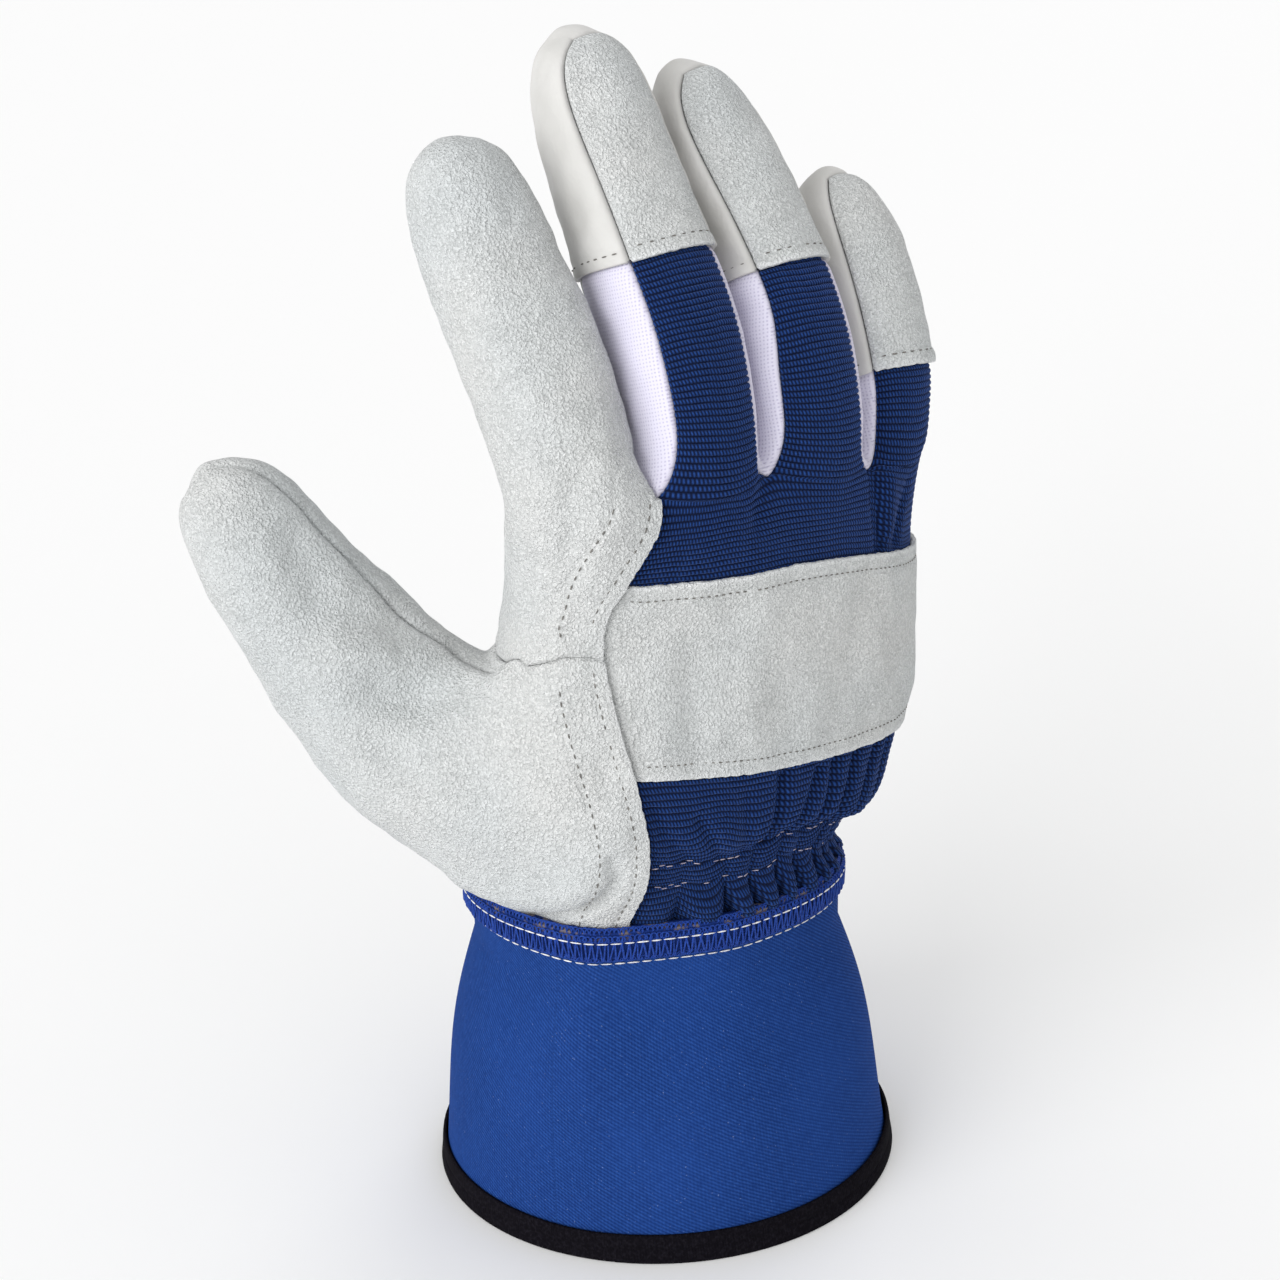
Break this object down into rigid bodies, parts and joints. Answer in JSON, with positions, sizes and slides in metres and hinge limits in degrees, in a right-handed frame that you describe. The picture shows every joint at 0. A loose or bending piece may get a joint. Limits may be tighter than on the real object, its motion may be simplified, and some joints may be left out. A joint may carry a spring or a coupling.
{
  "type": "rigger glove",
  "caption": "Right-hand work glove with suede palm, thumb and fingertips, a ribbed elastic knit back with a suede knuckle strap, gathered at the wrist above a flared canvas cuff.",
  "frame": {"origin": "centre of the cuff's open hem, in the hem's plane", "axes": "+Z from the hem to the fingertips, -Y the back of the hand, +Y the palm, -X the thumb side, +X the little finger side"},
  "size_m": [0.1387, 0.0993, 0.2401],
  "materials": {
    "suede": "short-napped light grey suede, matte",
    "grain_leather": "smooth off-white grain leather, low sheen",
    "ribbed_knit": "navy ribbed elastic knit, matte",
    "finger_fabric": "white fine knit, matte",
    "cuff_twill": "rubberised royal blue cotton twill, matte",
    "overlock_thread": "blue overlock thread over twill",
    "hem_tape": "black woven binding tape"
  },
  "bodies": {
    "root": {"palm_leather": "suede", "index_leather": "suede", "thumb_leather": "suede", "thumb_inner": "suede", "knuckle_strap": "suede", "cap_middle": "suede", "cap_ring": "suede", "cap_pinky": "suede", "gusset_middle": "grain_leather", "gusset_ring": "grain_leather", "gusset_pinky": "grain_leather", "fork_index_middle": "finger_fabric", "fork_middle_ring": "finger_fabric", "fork_ring_pinky": "finger_fabric", "back_knit": "ribbed_knit", "cuff": "cuff_twill", "hem_binding": "hem_tape", "wrist_overlock": "overlock_thread"}
  },
  "joints": []
}
